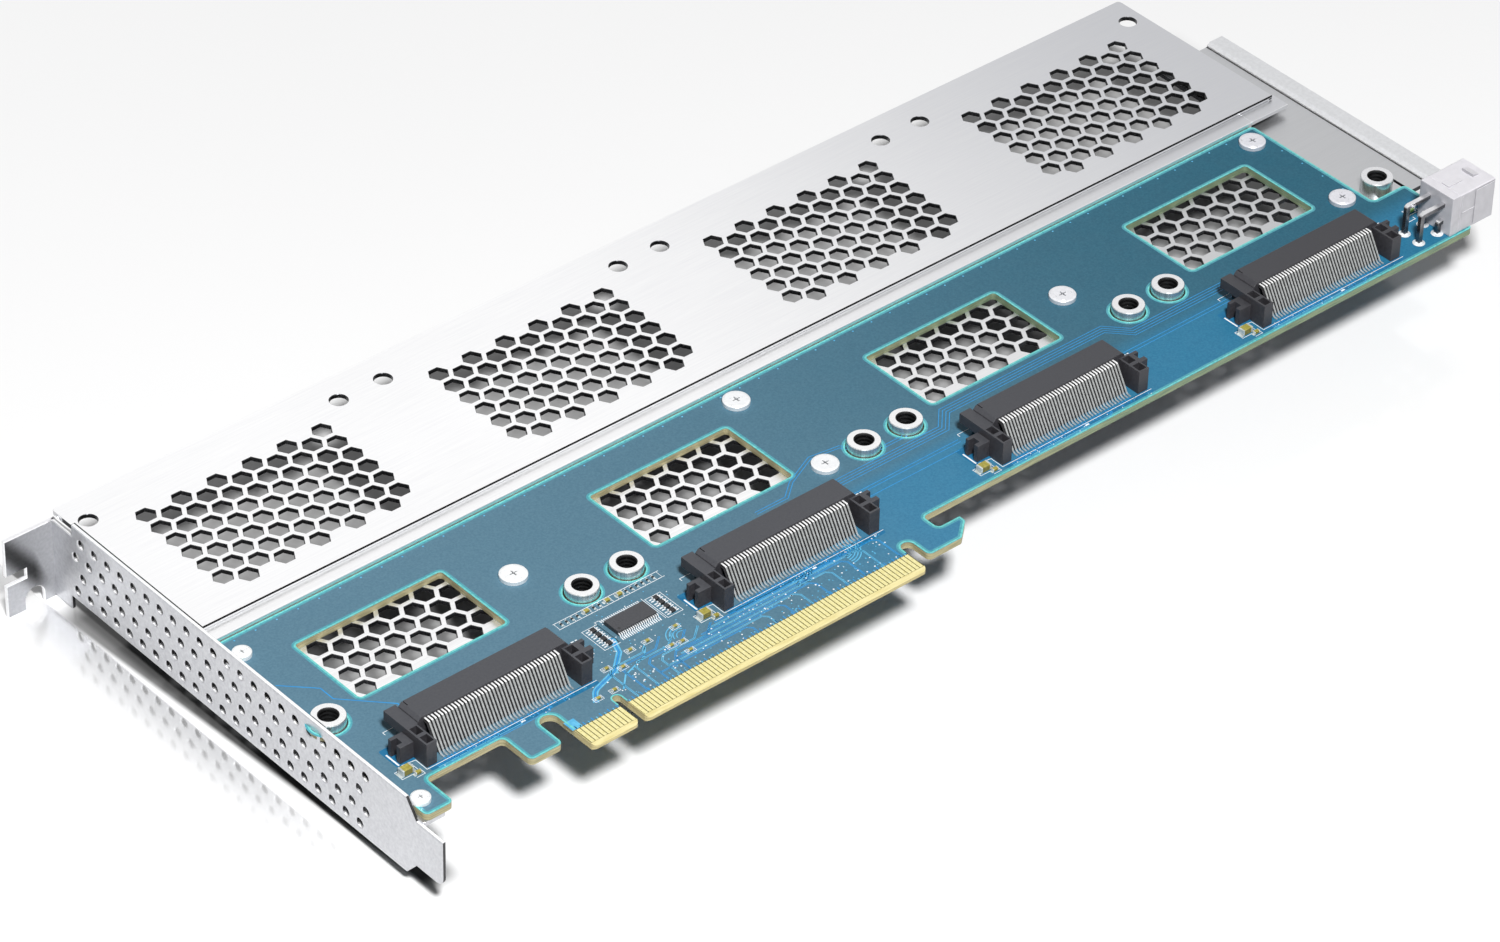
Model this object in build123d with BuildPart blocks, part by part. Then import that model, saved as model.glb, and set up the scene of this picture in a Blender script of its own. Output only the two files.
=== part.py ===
"""A full-length adapter card that carries four drives, modelled at its real size in millimetres.

X runs along the card from the slot bracket to the far end, Y from the edge contacts to the back,
and Z up. The origin is the top centre of the first drive spacer, so Z = 0 is the seat of the drives.
"""
import math
import os

from build123d import *

os.makedirs("parts", exist_ok=True)

# Drives: how many, how far apart, and their bottom screw holes
drive_count = 4
drive_pitch = 73.0
drive_hole_x = 61.72
drive_hole_y = 76.6
drive_bore_r = 1.95

# Thicknesses and levels
deck_sheet = 1.0
base_sheet = 1.0
bracket_sheet = 1.0
board_thick = 1.6
seat_above_board = 2.0
board_top = -seat_above_board
board_bottom = board_top - board_thick
base_top = board_bottom
base_bottom = base_top - base_sheet

# Spacers
spacer_r = 3.5
spacer_ring_gap = 0.25
spacer_flat_gap = 0.05
base_hole_r = 2.2
bracket_inner_x = -2.6
bracket_outer_x = bracket_inner_x - bracket_sheet

# Circuit board outline
board_edge_gap = 0.2
board_left = bracket_inner_x + board_edge_gap
board_right_gap = 5.32
board_far_seat = 6.5
board_back = 32.1
board_front = -24.2
board_notch_y = -4.2
foot_right = 4.1
foot_y = -32.6
tab_left = 22.5
tab_right = 30.3
relief_width = 4.0
tongue_tip_y = -36.9
tongue_bevel = 1.0
tongue_bevel_rise = 0.45
retainer_slot = 3.0
retainer_width = 12.8
retainer_neck = 7.1
retainer_y = -34.0
retainer_lip_y = -28.7
retainer_slope = 4.2
retainer_slope_rise = 3.6

# Edge contacts: a short row of eleven, the key, and a long row of seventy-one
contact_pitch = 1.0
contact_width = 0.7
contact_end = 0.65
contact_key_gap = 0.55
contact_thick = 0.05
short_row = 11
long_row = 71
key_width = 1.9
key_top_y = -28.0
contact_back_y = -31.2
contact_front_gap = 0.1
short_length = (short_row - 1) * contact_pitch + contact_end + contact_key_gap
long_length = (long_row - 1) * contact_pitch + contact_end + contact_key_gap
tongue_left = tab_right + relief_width
key_left = tongue_left + short_length
key_right = key_left + key_width
tongue_right = key_right + long_length
retainer_left = tongue_right + retainer_slot
retainer_right = retainer_left + retainer_width

# Windows through the board
window_x = 35.7
window_y = 20.4
window_corner_r = 0.8
window_centre_x = 26.85
window_centre_y = 12.2

# Perforated deck behind the board
deck_front = 35.9
deck_back = 84.0
deck_right_gap = 4.28
deck_ear_y = 77.5
deck_corner_r = 0.9
shelf_drop = 1.0
shelf_gap = 0.2
shelf_front = board_back + shelf_gap
shelf_reach = 1.4
shelf_top = -shelf_drop
hex_flats = 3.85
hex_pitch = 5.0
hex_columns = 11
hex_rows = 6
hex_centre_x = 31.35
hex_centre_y = 57.05

# Base plate under the board
base_front = -20.0
base_front_right = -5.0
base_step_inset = 34.0
base_back = 38.0
base_corner_inset = 20.0
base_reach = 11.0
base_end_back = 62.2
hem_width = 4.7
base_ear_gap = 0.3

# Openings in the base plate under each window, as a plain grid
vent_columns = 4
vent_rows = 2
vent_x = 6.8
vent_y = 7.2
vent_pitch_x = 8.8
vent_pitch_y = 9.4
vent_centre_x = 28.15
vent_centre_y = 12.9

# Screws, and how many sides the round shapes get where a true circle isn't needed
screw_head_r = 2.9
screw_head = 1.1
screw_r = 1.45
screw_hole_r = 1.6
hidden_sides = 8
head_sides = 16
base_hole_sides = 12
screw_set = 2 * drive_pitch
lone_screw_x = 54.5
paired_screw_x = 51.6
screw_places = [(lone_screw_x, 12.1), (drive_pitch + paired_screw_x, 27.3),
                (drive_pitch + paired_screw_x, 0.2)]
bracket_screw_head_r = 2.0
bracket_screw_x = -0.5
bracket_screw_ys = [26.3, -28.5]

# Slot bracket
bracket_bottom = -18.3
bracket_shoulder_y = -27.8
bracket_tip_y = -38.7
blade_top = -4.1
blade_bottom = -14.9
blade_slope = 3.0
blade_corner_r = 2.0
tab_face_y = 84.0
tab_top = -2.7
tab_bottom = -21.6
tab_step_y = 78.6
tab_reach = 11.43
bend_r = 0.8
notch_depth = 4.8
notch_top = -11.4
notch_height = 2.4
screw_slot_r = 2.21
screw_slot_x = -8.5
screw_slot_arch_z = -19.25
ear_width = 8.0
ear_reach = 6.0

# Drive sockets on the board
socket_left = 8.9
socket_length = 36.3
socket_rear = -15.9
socket_mouth = -9.9
socket_height = 6.5
socket_chamfer = 0.8
wing_length = 3.6
wing_height = 5.0
wing_rear = -14.2
socket_ear_out_left = 1.9
socket_ear_out_right = 2.7
socket_ear_width = 3.2
socket_ear_rear = -21.8
socket_ear_front = -14.2
socket_ear_height = 4.0
pocket_size = 1.9
pocket_depth = 2.5
pocket_y = -17.6
pocket_pitch = 3.0
peg_block_width = 3.6
peg_block_rear = -18.0
peg_block_front = -14.0
peg_block_height = 3.0
mouth_end_wall = 2.15
mouth_height = 2.8
mouth_depth = 4.5
mouth_floor = 2.6

# Rows of fine contacts, bent from each socket down to the board
comb_left_gap = 1.5
comb_right_gap = 3.3
comb_top = 6.0
comb_thick = 0.3
comb_bend_y = -17.3
comb_knee_y = -20.4
comb_knee_rise = 1.0
comb_toe_y = -21.7

# Power socket at the far end
power_gap = 8.0
power_length = 12.8
power_pitch = 4.2
power_wall = 0.6
power_centre_y = -18.9
power_cell = 3.4
power_cell_depth = 10.5
power_side = 2 * power_pitch + 2 * power_wall
power_centre_z = board_top + power_side / 2
pin_side = 1.07
pin_row_gap = 5.5
pin_gap = 1.5
pin_end_gap = 2.5
pin_tail = 1.2
pin_hole_side = 1.7
latch_width = 3.2
latch_length = 2.2
latch_rise = 0.8
latch_end_gap = 1.5

# Parts soldered on the board
chip_shift = -0.55
chip_y = -12.6
chip_length = 9.7
chip_width = 4.4
chip_height = 1.1
array_length = 1.6
array_width = 1.2
array_height = 0.5
array_left_shift = 0.675
array_right_shift = -0.825
array_ys = [-10.6, -12.2, -13.8, -15.4]
bulk_length = 3.2
bulk_width = 1.7
bulk_height = 1.5
bulk_y = -19.9
small_length = 1.6
small_width = 0.8
small_height = 0.8
small_y = -22.3
capacitor_x = 3.0

# Places that repeat along the card
drive_xs = [drive_pitch * k for k in range(drive_count)]
spacer_xs = [x + side for x in drive_xs for side in (0, drive_hole_x)]

# Where the plates and the board end, past the last spacer
board_right = spacer_xs[-1] - board_right_gap
deck_right = spacer_xs[-1] + deck_right_gap
shelf_right = deck_right + shelf_reach
base_end_x = deck_right + base_reach
base_step_x = base_end_x - base_step_inset
base_corner_x = base_end_x - base_corner_inset

# The power socket and its pins stand past the last drive socket, at the end of the board
socket_end = socket_left + socket_length + socket_ear_out_right + peg_block_width
socket_start = socket_left - socket_ear_out_left - peg_block_width
power_left = drive_xs[-1] + socket_end + power_gap
pin_first_x = drive_xs[-1] + socket_end + pin_gap
board_far_end = power_left + board_far_seat

# The chip lies between the first two sockets, with its arrays in the two spaces that it leaves
chip_x = (socket_end + drive_pitch + socket_start) / 2 + chip_shift
array_xs = [
    (socket_end + chip_x - chip_length / 2) / 2 + array_left_shift,
    (chip_x + chip_length / 2 + drive_pitch + socket_start) / 2 + array_right_shift,
]

# The rest that repeats
screw_points = [(x + screw_set * k, y) for k in range(drive_count // 2) for x, y in screw_places]
bracket_screw_points = [(bracket_screw_x, y) for y in bracket_screw_ys]
pin_xs = [pin_first_x, pin_first_x + pin_row_gap]
pin_ys = [power_centre_y - power_pitch / 2, power_centre_y + power_pitch / 2]
pin_points = [(x, y) for x in pin_xs for y in pin_ys]
board_surface = Plane.XY.offset(board_top)


def span(x_min, x_max, y_min, y_max, mode=Mode.ADD):
    """A rectangle between two corners, in the sketch that is open."""
    with Locations(((x_min + x_max) / 2, (y_min + y_max) / 2)):
        Rectangle(x_max - x_min, y_max - y_min, mode=mode)


def outline(*points):
    """A closed straight-sided face, in the sketch that is open."""
    Polygon(*points, align=None)


def hexagon_points(centre_x):
    """Centres of one hexagon field: neighbouring columns are half a pitch apart."""
    column_pitch = hex_pitch * math.cos(math.radians(30))
    points = []
    for column in range(hex_columns):
        x = centre_x + (column - (hex_columns - 1) / 2) * column_pitch
        shift = hex_pitch / 4 if column % 2 == 0 else -hex_pitch / 4
        for row in range(hex_rows):
            points.append((x, hex_centre_y + shift + (row - (hex_rows - 1) / 2) * hex_pitch))
    return points


def save(piece, name):
    """Label a finished piece and write it to its own file."""
    piece.label = name
    export_step(piece, f"parts/{name}.step")


# Circuit board with its edge tongue, relief slots, retainer hook and windows
relief_y = board_front - relief_width / 2
slot_y = key_top_y - retainer_slot / 2
key_y = key_top_y - key_width / 2
with BuildPart() as board:
    with BuildSketch(Plane.XY.offset(board_bottom)):
        span(board_left, board_right, board_front, board_back)
        span(board_right, board_far_end, board_front, board_notch_y)
        span(board_left, foot_right, foot_y, board_front)
        span(tab_left, tab_right, foot_y, board_front)
        span(tab_right, tongue_left, relief_y, board_front)
        span(tongue_left, tongue_right, tongue_tip_y, board_front)
        span(tongue_right, retainer_left, slot_y, board_front)
        outline(
            (retainer_left, board_front),
            (retainer_left, retainer_y),
            (retainer_right - retainer_slope, retainer_y),
            (retainer_right, retainer_y + retainer_slope_rise),
            (retainer_right, retainer_lip_y),
            (retainer_left + retainer_neck, retainer_lip_y),
            (retainer_left + retainer_neck, board_front),
        )
        with Locations(((tab_right + tongue_left) / 2, relief_y)):
            Circle(relief_width / 2, mode=Mode.SUBTRACT)
        with Locations(((tongue_right + retainer_left) / 2, slot_y)):
            Circle(retainer_slot / 2, mode=Mode.SUBTRACT)
        span(key_left, key_right, tongue_tip_y, key_y, mode=Mode.SUBTRACT)
        with Locations(((key_left + key_right) / 2, key_y)):
            Circle(key_width / 2, mode=Mode.SUBTRACT)
        with Locations(*[(x + window_centre_x, window_centre_y) for x in drive_xs]):
            RectangleRounded(window_x, window_y, window_corner_r, mode=Mode.SUBTRACT)
        with Locations(*[(x, 0) for x in spacer_xs]):
            Circle(spacer_r + spacer_ring_gap, mode=Mode.SUBTRACT)
        with Locations(*screw_points, *bracket_screw_points):
            RegularPolygon(screw_hole_r, hidden_sides, mode=Mode.SUBTRACT)
        with Locations(*pin_points):
            Rectangle(pin_hole_side, pin_hole_side, mode=Mode.SUBTRACT)
    extrude(amount=board_thick)
    with BuildSketch(Plane.YZ.offset(tongue_left)):
        for level, rise in [(board_top, -tongue_bevel_rise), (board_bottom, tongue_bevel_rise)]:
            outline(
                (tongue_tip_y, level),
                (tongue_tip_y + tongue_bevel, level),
                (tongue_tip_y, level + rise),
            )
    extrude(amount=tongue_right - tongue_left, mode=Mode.SUBTRACT)
save(board.part, "circuit_board")

# Gold contacts on the upper face of the edge tongue
contact_xs = [tongue_left + contact_end + contact_pitch * k for k in range(short_row)]
contact_xs += [key_right + contact_key_gap + contact_pitch * k for k in range(long_row)]
contact_front_y = tongue_tip_y + tongue_bevel + contact_front_gap
contact_length = contact_back_y - contact_front_y
with BuildPart() as contacts:
    with BuildSketch(board_surface):
        with Locations(*[(x, contact_back_y - contact_length / 2) for x in contact_xs]):
            Rectangle(contact_width, contact_length)
    extrude(amount=contact_thick)
save(contacts.part, "edge_contacts")

# Perforated deck: a raised sheet that steps down to a shelf behind the board and stands on lips
with BuildPart() as deck:
    with BuildSketch(Plane.YZ.offset(bracket_inner_x)):
        outline(
            (shelf_front, base_top),
            (shelf_front, shelf_top),
            (deck_front, shelf_top),
            (deck_front, 0),
            (deck_back, 0),
            (deck_back, -deck_sheet),
            (deck_front + deck_sheet, -deck_sheet),
            (deck_front + deck_sheet, shelf_top - deck_sheet),
            (shelf_front + deck_sheet, shelf_top - deck_sheet),
            (shelf_front + deck_sheet, base_top),
        )
    extrude(amount=board_right - bracket_inner_x)
    with BuildSketch(Plane.XY.offset(shelf_top)):
        span(board_right, shelf_right, shelf_front, deck_front + deck_sheet)
    extrude(amount=-deck_sheet)
    with BuildSketch(Plane.XY):
        span(board_right, deck_right, deck_front, deck_back)
        span(bracket_outer_x, bracket_inner_x, deck_ear_y, deck_back)
    extrude(amount=-deck_sheet)
    with BuildSketch(Plane.XY.offset(-deck_sheet)):
        span(deck_right - deck_sheet, deck_right, deck_front, base_end_back)
    extrude(amount=base_top + deck_sheet)
    corners = deck.edges().filter_by(Axis.Z).group_by(Axis.Y)[-1]
    fillet(corners, deck_corner_r)
    with BuildSketch(Plane.XY):
        with Locations(*[(x, drive_hole_y) for x in spacer_xs]):
            Circle(drive_bore_r)
        for x in drive_xs:
            with Locations(*hexagon_points(x + hex_centre_x)):
                RegularPolygon(hex_flats / 2, 6, major_radius=False)
    extrude(amount=-deck_sheet, mode=Mode.SUBTRACT)
save(deck.part, "drive_deck")

# Base plate under the board, with a hem folded over its far end
ear_low = bracket_screw_ys[0] - ear_width / 2 - base_ear_gap
ear_high = bracket_screw_ys[0] + ear_width / 2 + base_ear_gap
with BuildPart() as base:
    with BuildSketch(Plane.XY.offset(base_bottom)):
        span(bracket_inner_x, base_step_x, base_front, base_back)
        span(base_step_x, base_end_x, base_front_right, base_back)
        span(base_corner_x, base_end_x, base_back, base_end_back)
        span(bracket_inner_x, bracket_outer_x + ear_reach + base_ear_gap, ear_low, ear_high,
             mode=Mode.SUBTRACT)
        with Locations(*[(x, 0) for x in spacer_xs]):
            RegularPolygon(base_hole_r, base_hole_sides, mode=Mode.SUBTRACT)
        with Locations(*screw_points):
            RegularPolygon(screw_r, hidden_sides, mode=Mode.SUBTRACT)
        with Locations(*[(x + vent_centre_x, vent_centre_y) for x in drive_xs]):
            with GridLocations(vent_pitch_x, vent_pitch_y, vent_columns, vent_rows):
                Rectangle(vent_x, vent_y, mode=Mode.SUBTRACT)
    extrude(amount=base_sheet)
    with BuildSketch(Plane.XY.offset(base_top)):
        span(base_end_x - hem_width, base_end_x, base_front_right, base_end_back)
    extrude(amount=base_sheet)
save(base.part, "base_plate")

# Slot bracket: panel, blade, fastening tab and the two ears under the board
with BuildPart() as bracket:
    with BuildSketch(Plane.YZ.offset(bracket_outer_x)) as panel_face:
        outline(
            (bracket_shoulder_y, 0),
            (deck_ear_y, 0),
            (deck_ear_y, tab_top),
            (tab_face_y + bracket_sheet, tab_top),
            (tab_face_y + bracket_sheet, tab_bottom),
            (tab_step_y, tab_bottom),
            (tab_step_y, bracket_bottom),
            (bracket_shoulder_y, bracket_bottom),
            (bracket_shoulder_y - blade_slope, blade_bottom),
            (bracket_tip_y, blade_bottom),
            (bracket_tip_y, blade_top),
            (bracket_shoulder_y - blade_slope, blade_top),
        )
        tip_corner = panel_face.vertices().group_by(Axis.X)[0].sort_by(Axis.Y)[0]
        fillet(tip_corner, blade_corner_r)
    extrude(amount=bracket_sheet)
    with BuildSketch(Plane.XZ.offset(-tab_face_y)):
        span(bracket_inner_x - tab_reach - bracket_sheet, bracket_inner_x, tab_bottom, tab_top)
        span(bracket_outer_x - tab_reach, bracket_outer_x - tab_reach + notch_depth,
             notch_top - notch_height, notch_top, mode=Mode.SUBTRACT)
        span(screw_slot_x - screw_slot_r, screw_slot_x + screw_slot_r,
             tab_bottom, screw_slot_arch_z, mode=Mode.SUBTRACT)
        with Locations((screw_slot_x, screw_slot_arch_z)):
            Circle(screw_slot_r, mode=Mode.SUBTRACT)
    extrude(amount=-bracket_sheet)
    bend = bracket.edges().filter_by(Axis.Z).group_by(Axis.Y)[-1].sort_by(Axis.X)[-1]
    fillet(bend, bend_r)
    for y in bracket_screw_ys:
        with BuildSketch(Plane.XY.offset(board_bottom)):
            span(bracket_outer_x, bracket_outer_x + ear_reach, y - ear_width / 2, y + ear_width / 2)
            with Locations((bracket_screw_x, y)):
                RegularPolygon(screw_r, hidden_sides, mode=Mode.SUBTRACT)
        extrude(amount=-bracket_sheet)
save(bracket.part, "slot_bracket")

# Drive spacers: the first has a flat where the bracket passes it
with BuildPart() as spacers:
    with BuildSketch(Plane.XY.offset(base_top)):
        with Locations(*[(x, 0) for x in spacer_xs]):
            Circle(spacer_r)
            Circle(drive_bore_r, mode=Mode.SUBTRACT)
        span(-2 * spacer_r, bracket_inner_x + spacer_flat_gap, -spacer_r, spacer_r,
             mode=Mode.SUBTRACT)
    extrude(amount=-base_top)
save(spacers.part, "drive_spacers")


def screws(points, head_r):
    """Flat round heads on the board, with shanks through it into the sheet below."""
    with BuildPart() as group:
        with BuildSketch(board_surface):
            with Locations(*points):
                RegularPolygon(head_r, head_sides)
        extrude(amount=screw_head)
        with BuildSketch(board_surface):
            with Locations(*points):
                RegularPolygon(screw_r, hidden_sides)
        extrude(amount=-board_thick - base_sheet)
    return group.part


save(screws(screw_points, screw_head_r), "board_screws")
save(screws(bracket_screw_points, bracket_screw_head_r), "bracket_screws")


def drive_socket(x):
    """One moulded housing: body with its mouth at the back, key wing, pocketed ears and peg blocks."""
    left = x + socket_left
    right = left + socket_length
    ear_left = left - socket_ear_out_left
    ear_right = right + socket_ear_out_right
    ear_middles = [ear_left + socket_ear_width / 2, ear_right - socket_ear_width / 2]
    with BuildPart() as housing:
        with BuildSketch(board_surface):
            span(left, right, socket_rear, socket_mouth)
        extrude(amount=socket_height)
        top_corners = housing.faces().sort_by(Axis.Z)[-1].edges().filter_by(Axis.Y)
        chamfer(top_corners, socket_chamfer)
        with BuildSketch(board_surface):
            span(left - wing_length, left, wing_rear, socket_mouth)
        extrude(amount=wing_height)
        with BuildSketch(board_surface):
            span(ear_left, ear_left + socket_ear_width, socket_ear_rear, socket_ear_front)
            span(ear_right - socket_ear_width, ear_right, socket_ear_rear, socket_ear_front)
        extrude(amount=socket_ear_height)
        with BuildSketch(board_surface):
            span(ear_left - peg_block_width, ear_left, peg_block_rear, peg_block_front)
            span(ear_right, ear_right + peg_block_width, peg_block_rear, peg_block_front)
        extrude(amount=peg_block_height)
        with BuildSketch(Plane.XY.offset(board_top + socket_ear_height)):
            for middle in ear_middles:
                with Locations((middle, pocket_y)):
                    with GridLocations(1, pocket_pitch, 1, 2):
                        Rectangle(pocket_size, pocket_size)
        extrude(amount=-pocket_depth, mode=Mode.SUBTRACT)
        with BuildSketch(Plane.XZ.offset(-socket_mouth)):
            with Locations(((left + right) / 2, board_top + mouth_floor + mouth_height / 2)):
                Rectangle(socket_length - 2 * mouth_end_wall, mouth_height)
        extrude(amount=mouth_depth, mode=Mode.SUBTRACT)
    return housing.part


def contact_row(x):
    """The row of fine contacts as one bent strip: out of the housing, down a slant, then a toe."""
    left = x + socket_left + comb_left_gap
    right = x + socket_left + socket_length - comb_right_gap
    top = board_top + comb_top
    knee = board_top + comb_knee_rise
    with BuildPart() as row:
        with BuildSketch(Plane.YZ.offset(left)):
            outline(
                (socket_rear, top),
                (comb_bend_y, top),
                (comb_knee_y, knee),
                (comb_toe_y, board_top + comb_thick),
                (comb_toe_y, board_top),
                (comb_knee_y + comb_thick, knee - comb_thick),
                (comb_bend_y + comb_thick, top - comb_thick),
                (socket_rear, top - comb_thick),
            )
        extrude(amount=right - left)
    return row.part


for number, drive_x in enumerate(drive_xs, start=1):
    save(drive_socket(drive_x), f"drive_socket_{number}")
    save(contact_row(drive_x), f"socket_contacts_{number}")

# Power socket: four square cells open to the far end, and a latch lug on top
power_right = power_left + power_length
with BuildPart() as power_socket:
    with BuildSketch(board_surface):
        span(power_left, power_right,
             power_centre_y - power_side / 2, power_centre_y + power_side / 2)
    extrude(amount=power_side)
    with BuildSketch(Plane.YZ.offset(power_right)):
        with Locations((power_centre_y, power_centre_z)):
            with GridLocations(power_pitch, power_pitch, 2, 2):
                Rectangle(power_cell, power_cell)
    extrude(amount=-power_cell_depth, mode=Mode.SUBTRACT)
    with BuildSketch(Plane.YZ.offset(power_left)):
        with Locations((power_centre_y, power_centre_z)):
            with GridLocations(power_pitch, power_pitch, 2, 2):
                Rectangle(pin_side, pin_side)
    extrude(amount=power_length - power_cell_depth, mode=Mode.SUBTRACT)
    latch_right = power_right - latch_end_gap
    latch_base = board_top + power_side
    with BuildSketch(Plane.XZ.offset(-power_centre_y - latch_width / 2)):
        outline(
            (latch_right, latch_base),
            (latch_right - latch_length, latch_base),
            (latch_right - latch_length, latch_base + latch_rise),
        )
    extrude(amount=latch_width)
save(power_socket.part, "power_socket")

# Square power pins, bent from the cells down through the board
pin_end_x = power_right - pin_end_gap
pin_low_z = board_bottom - pin_tail
pin_levels = [power_centre_z + power_pitch / 2, power_centre_z - power_pitch / 2]
with BuildPart() as power_pins:
    for y in pin_ys:
        with BuildSketch(Plane.XZ.offset(-y - pin_side / 2)):
            for x, level in zip(pin_xs, pin_levels):
                span(x - pin_side / 2, pin_end_x, level - pin_side / 2, level + pin_side / 2)
                span(x - pin_side / 2, x + pin_side / 2, pin_low_z, level)
        extrude(amount=pin_side)
save(power_pins.part, "power_pins")

# Clock chip and the small parts round it
with BuildPart() as chip:
    with BuildSketch(board_surface):
        with Locations((chip_x, chip_y)):
            Rectangle(chip_length, chip_width)
    extrude(amount=chip_height)
save(chip.part, "clock_chip")

with BuildPart() as arrays:
    with BuildSketch(board_surface):
        with Locations(*[(x, y) for x in array_xs for y in array_ys]):
            Rectangle(array_length, array_width)
    extrude(amount=array_height)
save(arrays.part, "resistor_arrays")

with BuildPart() as bulk_capacitors:
    with BuildSketch(board_surface):
        with Locations(*[(x + capacitor_x, bulk_y) for x in drive_xs]):
            Rectangle(bulk_length, bulk_width)
    extrude(amount=bulk_height)
save(bulk_capacitors.part, "bulk_capacitors")

with BuildPart() as small_capacitors:
    with BuildSketch(board_surface):
        with Locations(*[(x + capacitor_x, small_y) for x in drive_xs]):
            Rectangle(small_length, small_width)
    extrude(amount=small_height)
save(small_capacitors.part, "small_capacitors")
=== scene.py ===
import math
import random

import bmesh
import bpy
from mathutils import Matrix, Vector


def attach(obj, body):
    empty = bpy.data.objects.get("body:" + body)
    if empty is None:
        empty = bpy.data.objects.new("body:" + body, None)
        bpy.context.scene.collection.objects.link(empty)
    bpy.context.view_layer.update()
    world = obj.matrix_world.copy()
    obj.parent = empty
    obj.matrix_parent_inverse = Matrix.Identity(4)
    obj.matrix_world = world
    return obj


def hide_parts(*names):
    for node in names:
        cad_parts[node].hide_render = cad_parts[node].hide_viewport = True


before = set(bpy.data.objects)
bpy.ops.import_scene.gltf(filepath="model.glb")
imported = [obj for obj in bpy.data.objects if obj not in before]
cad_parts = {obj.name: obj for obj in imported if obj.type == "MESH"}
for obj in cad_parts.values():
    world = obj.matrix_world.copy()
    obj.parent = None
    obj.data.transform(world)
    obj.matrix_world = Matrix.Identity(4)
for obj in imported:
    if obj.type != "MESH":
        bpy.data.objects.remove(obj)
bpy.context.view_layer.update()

random.seed(11)
MM = 0.001

# The numbers below are millimetres in the CAD frame, and become metres when a mesh is made.
DRIVE_PITCH = 73.0
DRIVE_HOLE_SPAN = 61.72
DRIVES = [k * DRIVE_PITCH for k in range(4)]
SPACERS = [x + side for x in DRIVES for side in (0, DRIVE_HOLE_SPAN)]
BOARD_THICKNESS = 1.6
SHEET = 1.0
BOARD = -2.0
BOARD_UNDER = BOARD - BOARD_THICKNESS
BASE_UNDER = BOARD_UNDER - SHEET
FLOOR = -21.65
BRACKET_EARS = (26.3, -28.5)
CONTACTS = 40
CONTACT_PITCH = 0.8
FIRST_CONTACT = 10.5
PIN_ROWS = (-21.0, -16.8)
PINS = ((272.0, 4.9), (277.5, 0.7))


# Shapes
def sheet(loops, thickness, bevel=0.1, steps=1):
    """A flat sheet with holes and eased edges, from z = 0 down."""
    curve = bpy.data.curves.new("sheet", "CURVE")
    curve.dimensions = "2D"
    curve.fill_mode = "BOTH"
    curve.extrude = thickness / 2 - bevel
    curve.bevel_depth = bevel
    curve.bevel_resolution = steps - 1
    curve.offset = -bevel
    for loop in loops:
        spline = curve.splines.new("POLY")
        spline.points.add(len(loop) - 1)
        for point, (x, y) in zip(spline.points, loop):
            point.co = (x, y, 0, 1)
        spline.use_cyclic_u = True
    holder = bpy.data.objects.new("sheet", curve)
    bpy.context.scene.collection.objects.link(holder)
    bpy.context.view_layer.update()
    graph = bpy.context.evaluated_depsgraph_get()
    mesh = bpy.data.meshes.new_from_object(holder.evaluated_get(graph))
    bm = bmesh.new()
    bm.from_mesh(mesh)
    bmesh.ops.remove_doubles(bm, verts=bm.verts, dist=0.002)
    bmesh.ops.recalc_face_normals(bm, faces=bm.faces)
    verts, faces = unpack(bm)
    bpy.data.objects.remove(holder)
    bpy.data.curves.remove(curve)
    bpy.data.meshes.remove(mesh)
    return [(x, y, z - thickness / 2) for x, y, z in verts], faces


def unpack(bm):
    bm.verts.ensure_lookup_table()
    verts = [tuple(v.co) for v in bm.verts]
    faces = [tuple(v.index for v in f.verts) for f in bm.faces]
    bm.free()
    return verts, faces


def prism(points, low, high, axis="z", bevel=0.1, steps=2):
    """A polygon run along an axis, with every edge eased. Points are the other two axes in order."""
    place = {
        "x": lambda u, v, w: (w, u, v),
        "y": lambda u, v, w: (u, w, v),
        "z": lambda u, v, w: (u, v, w),
    }[axis]
    bm = bmesh.new()
    rings = [[bm.verts.new(place(u, v, w)) for u, v in points] for w in (low, high)]
    bm.faces.new(rings[0])
    bm.faces.new(rings[1])
    count = len(points)
    for i in range(count):
        j = (i + 1) % count
        bm.faces.new((rings[0][i], rings[0][j], rings[1][j], rings[1][i]))
    bmesh.ops.recalc_face_normals(bm, faces=bm.faces)
    if bevel:
        bmesh.ops.bevel(bm, geom=bm.edges[:], offset=bevel, segments=steps, profile=0.5,
                        affect="EDGES", clamp_overlap=True)
    return unpack(bm)


def box(x0, x1, y0, y1, z0, z1, bevel=0.08, steps=2):
    return prism([(x0, y0), (x1, y0), (x1, y1), (x0, y1)], z0, z1, "z", bevel, steps)


def turned(profile, x, y, steps=56):
    """A profile of (radius, z) turned round a vertical axis."""
    verts, faces, rows = [], [], []
    for radius, z in profile:
        if radius < 1e-6:
            verts.append((x, y, z))
            rows.append([len(verts) - 1] * steps)
            continue
        row = []
        for k in range(steps):
            a = 2 * math.pi * k / steps
            verts.append((x + radius * math.cos(a), y + radius * math.sin(a), z))
            row.append(len(verts) - 1)
        rows.append(row)
    for a, b in zip(rows, rows[1:]):
        for k in range(steps):
            j = (k + 1) % steps
            face = list(dict.fromkeys((a[k], a[j], b[j], b[k])))
            if len(face) > 2:
                faces.append(tuple(face))
    return verts, faces


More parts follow.
